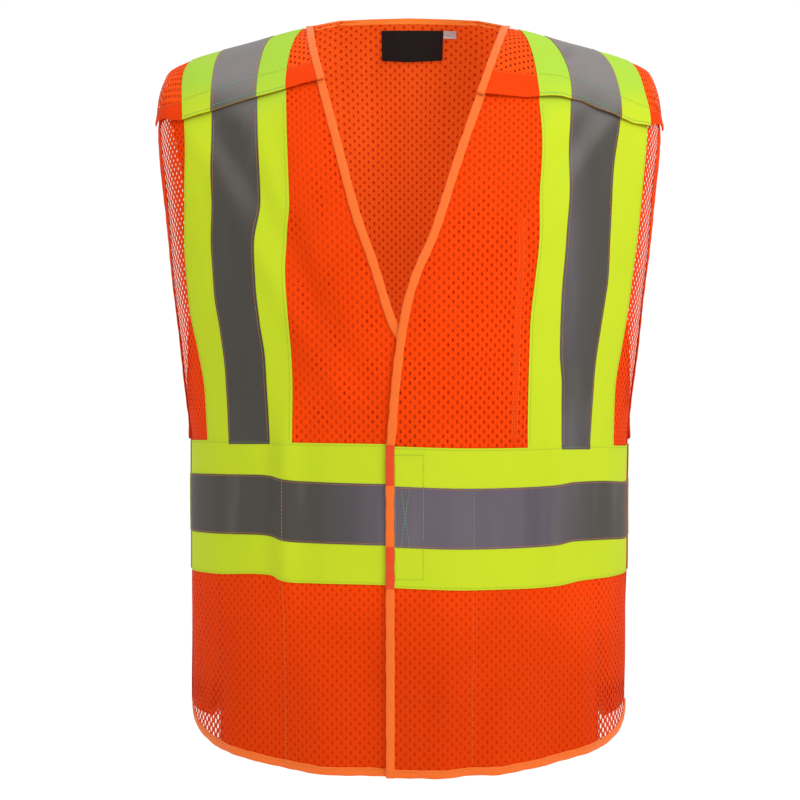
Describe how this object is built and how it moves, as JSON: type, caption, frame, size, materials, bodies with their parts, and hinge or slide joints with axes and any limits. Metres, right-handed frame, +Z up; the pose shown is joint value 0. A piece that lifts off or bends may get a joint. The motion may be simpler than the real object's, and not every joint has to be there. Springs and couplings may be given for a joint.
{
  "type": "high visibility vest",
  "caption": "Sleeveless mesh safety vest with two-tone reflective tapes, hook and loop front, lift-off shoulder flaps and side flaps",
  "frame": {"origin": "at the wearer's shoulder rest level on the body's centre line, between front and back", "axes": "+Z up along the body, the front faces -Y, the wearer's left is +X"},
  "size_m": [0.463, 0.286, 0.6843],
  "materials": {
    "mesh": "open warp-knit polyester mesh, bright orange",
    "binding": "folded knit edge binding, orange",
    "lime_tape": "tight knit contrast tape, lime yellow",
    "silver_tape": "glass-bead silver retroreflective tape",
    "label": "plain black woven label",
    "size_label": "plain white woven tab",
    "hook": "woven hook strip, orange",
    "loop": "brushed loop strip, orange",
    "pocket": "mesh pocket bag, orange"
  },
  "bodies": {
    "back": {"back_panel": "mesh", "back_neck_binding": "binding", "back_armhole_binding_left": "binding", "back_armhole_binding_right": "binding", "back_hem_binding": "binding", "back_waist_tape_lime": "lime_tape", "back_waist_tape_silver": "silver_tape", "back_vertical_tape_lime_left": "lime_tape", "back_vertical_tape_lime_right": "lime_tape", "back_vertical_tape_silver_left": "silver_tape", "back_vertical_tape_silver_right": "silver_tape", "neck_label": "label", "size_tab": "size_label", "shoulder_loop_strips": "loop", "side_loop_strips": "loop", "front_yoke_left": "mesh", "side_lap_left": "mesh", "front_yoke_right": "mesh", "side_lap_right": "mesh"},
    "shoulder_flap_left": {"shoulder_flap_panel_left": "mesh", "shoulder_flap_tape_lime_left": "lime_tape", "shoulder_flap_tape_silver_left": "silver_tape", "shoulder_flap_neck_binding_left": "binding", "shoulder_flap_armhole_binding_left": "binding", "shoulder_hook_strip_left": "hook"},
    "side_flap_left": {"side_flap_panel_left": "mesh", "side_flap_tape_lime_left": "lime_tape", "side_flap_tape_silver_left": "silver_tape", "side_hook_strip_left": "hook"},
    "front_left": {"front_panel_left": "mesh", "front_edge_binding_left": "binding", "front_armhole_binding_left": "binding", "front_hem_binding_left": "binding", "front_vertical_tape_lime_left": "lime_tape", "front_vertical_tape_silver_left": "silver_tape", "front_waist_tape_lime_left": "lime_tape", "front_waist_tape_silver_left": "silver_tape", "front_hook_strip_left": "hook", "lower_pocket_left": "pocket", "chest_pocket_left": "pocket"},
    "shoulder_flap_right": {"shoulder_flap_panel_right": "mesh", "shoulder_flap_tape_lime_right": "lime_tape", "shoulder_flap_tape_silver_right": "silver_tape", "shoulder_flap_neck_binding_right": "binding", "shoulder_flap_armhole_binding_right": "binding", "shoulder_hook_strip_right": "hook"},
    "side_flap_right": {"side_flap_panel_right": "mesh", "side_flap_tape_lime_right": "lime_tape", "side_flap_tape_silver_right": "silver_tape", "side_hook_strip_right": "hook"},
    "front_right": {"front_panel_right": "mesh", "front_edge_binding_right": "binding", "front_armhole_binding_right": "binding", "front_hem_binding_right": "binding", "front_vertical_tape_lime_right": "lime_tape", "front_vertical_tape_silver_right": "silver_tape", "front_waist_tape_lime_right": "lime_tape", "front_waist_tape_silver_right": "silver_tape", "front_loop_strip_right": "loop", "lower_pocket_right": "pocket"}
  },
  "joints": [
    {"name": "front_left_opening", "type": "hinge", "parent": "back", "child": "front_left", "pos_m": [0.2048, -0.0083, -0.456], "axis": [0, 0, 1], "range_deg": [0, 80]},
    {"name": "front_right_opening", "type": "hinge", "parent": "back", "child": "front_right", "pos_m": [-0.2002, -0.008, -0.456], "axis": [0, 0, -1], "range_deg": [0, 72]},
    {"name": "shoulder_flap_left_lift", "type": "hinge", "parent": "back", "child": "shoulder_flap_left", "pos_m": [0.143, 0, 0.0513], "axis": [-0.9649, 0, 0.2627], "range_deg": [0, 120]},
    {"name": "shoulder_flap_right_lift", "type": "hinge", "parent": "back", "child": "shoulder_flap_right", "pos_m": [-0.143, 0, 0.0513], "axis": [-0.9649, 0, -0.2627], "range_deg": [0, 120]},
    {"name": "side_flap_left_peel", "type": "hinge", "parent": "back", "child": "side_flap_left", "pos_m": [0.1905, 0.0503, -0.456], "axis": [0, 0, 1], "range_deg": [0, 75]},
    {"name": "side_flap_right_peel", "type": "hinge", "parent": "back", "child": "side_flap_right", "pos_m": [-0.1905, 0.0503, -0.456], "axis": [0, 0, -1], "range_deg": [0, 75]}
  ],
  "couplings": [
    {"joint": "front_right_opening", "follows": "front_left_opening", "ratio": 0.9}
  ]
}
